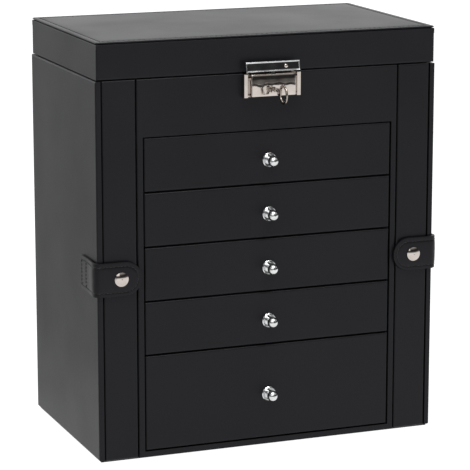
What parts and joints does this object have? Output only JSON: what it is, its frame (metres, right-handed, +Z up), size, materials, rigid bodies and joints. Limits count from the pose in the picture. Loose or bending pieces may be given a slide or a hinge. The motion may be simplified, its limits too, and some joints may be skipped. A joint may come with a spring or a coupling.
{
  "type": "jewelry armoire",
  "caption": "Tabletop jewellery armoire: leatherette case with drawers, hinged side doors with snap straps, and a locking mirror lid.",
  "frame": {"origin": "centre of the underside of the base, on the resting plane", "axes": "+Z up; the drawers and lock face -Y; +X is to the right seen from the front"},
  "size_m": [0.287, 0.2049, 0.325],
  "materials": {
    "leatherette": "satin black faux leather",
    "strap_leather": "satin black faux leather, stitched",
    "board": "fibreboard covered in black paper",
    "flock": "matt flock",
    "velvet": "grey velvet",
    "chrome": "polished nickel",
    "steel": "satin",
    "mirror": "silvered glass"
  },
  "bodies": {
    "case": {"base_liner": "flock", "base_panel": "board", "back_panel": "leatherette", "partitions": "board", "side_roofs": "leatherette", "stiles": "leatherette", "header_panel": "leatherette", "frame_strips": "leatherette", "drawer_shelves": "board", "top_tray": "velvet", "ring_rolls": "velvet", "necklace_hooks": "chrome", "elastic_pockets": "velvet", "case_hinge_leaves": "steel", "hinge_pins": "steel", "snap_studs": "chrome", "lock_plate": "chrome", "lock_cover": "chrome"},
    "lid": {"lid_shell": "leatherette", "lid_top_panel": "leatherette", "lid_lining": "velvet", "lid_mirror": "mirror", "lid_hinge_leaves": "steel", "hasp_plate": "chrome", "hasp_eye": "chrome"},
    "key": {"lock_plug": "chrome", "key": "chrome"},
    "bolt": {"lock_bolt": "steel"},
    "drawer_1": {"drawer_1_front": "leatherette", "drawer_1_box": "board", "drawer_1_knob": "chrome", "drawer_1_dividers": "velvet"},
    "drawer_2": {"drawer_2_front": "leatherette", "drawer_2_box": "board", "drawer_2_knob": "chrome", "drawer_2_dividers": "velvet"},
    "drawer_3": {"drawer_3_front": "leatherette", "drawer_3_box": "board", "drawer_3_knob": "chrome", "drawer_3_dividers": "velvet"},
    "drawer_4": {"drawer_4_front": "leatherette", "drawer_4_box": "board", "drawer_4_knob": "chrome"},
    "drawer_5": {"drawer_5_front": "leatherette", "drawer_5_box": "board", "drawer_5_knob": "chrome"},
    "left_door": {"left_door": "leatherette", "left_door_lining": "velvet", "left_door_hinge_leaves": "steel", "left_strap_anchor": "strap_leather"},
    "left_strap": {"left_strap_flap": "strap_leather", "left_snap_cap": "chrome"},
    "right_door": {"right_door": "leatherette", "right_door_lining": "velvet", "right_door_hinge_leaves": "steel", "right_strap_anchor": "strap_leather"},
    "right_strap": {"right_strap_flap": "strap_leather", "right_snap_cap": "chrome"}
  },
  "joints": [
    {"name": "lid_hinge", "type": "hinge", "parent": "case", "child": "lid", "pos_m": [0, 0.0849, 0.29625], "axis": [-1, 0, 0], "range_deg": [0, 98]},
    {"name": "drawer_1_slide", "type": "slide", "parent": "case", "child": "drawer_1", "axis": [0, -1, 0], "range_m": [0, 0.125]},
    {"name": "drawer_2_slide", "type": "slide", "parent": "case", "child": "drawer_2", "axis": [0, -1, 0], "range_m": [0, 0.125]},
    {"name": "drawer_3_slide", "type": "slide", "parent": "case", "child": "drawer_3", "axis": [0, -1, 0], "range_m": [0, 0.125]},
    {"name": "drawer_4_slide", "type": "slide", "parent": "case", "child": "drawer_4", "axis": [0, -1, 0], "range_m": [0, 0.125]},
    {"name": "drawer_5_slide", "type": "slide", "parent": "case", "child": "drawer_5", "axis": [0, -1, 0], "range_m": [0, 0.125]},
    {"name": "left_door_hinge", "type": "hinge", "parent": "case", "child": "left_door", "pos_m": [-0.1354, 0.0848, 0.15], "axis": [0, 0, -1], "range_deg": [0, 110]},
    {"name": "right_door_hinge", "type": "hinge", "parent": "case", "child": "right_door", "pos_m": [0.1354, 0.0848, 0.15], "axis": [0, 0, 1], "range_deg": [0, 110]},
    {"name": "left_strap_fold", "type": "hinge", "parent": "left_door", "child": "left_strap", "pos_m": [-0.1435, -0.0806, 0.14445], "axis": [0, 0, -1], "range_deg": [0, 150]},
    {"name": "right_strap_fold", "type": "hinge", "parent": "right_door", "child": "right_strap", "pos_m": [0.1435, -0.0806, 0.14445], "axis": [0, 0, 1], "range_deg": [0, 150]},
    {"name": "key_turn", "type": "hinge", "parent": "case", "child": "key", "pos_m": [0, -0.0915, 0.2839], "axis": [0, -1, 0], "range_deg": [0, 90]},
    {"name": "bolt_slide", "type": "slide", "parent": "case", "child": "bolt", "axis": [1, 0, 0], "range_m": [0, 0.005]}
  ],
  "couplings": [
    {"joint": "bolt_slide", "follows": "key_turn", "m_per_rad": 0.003183}
  ]
}
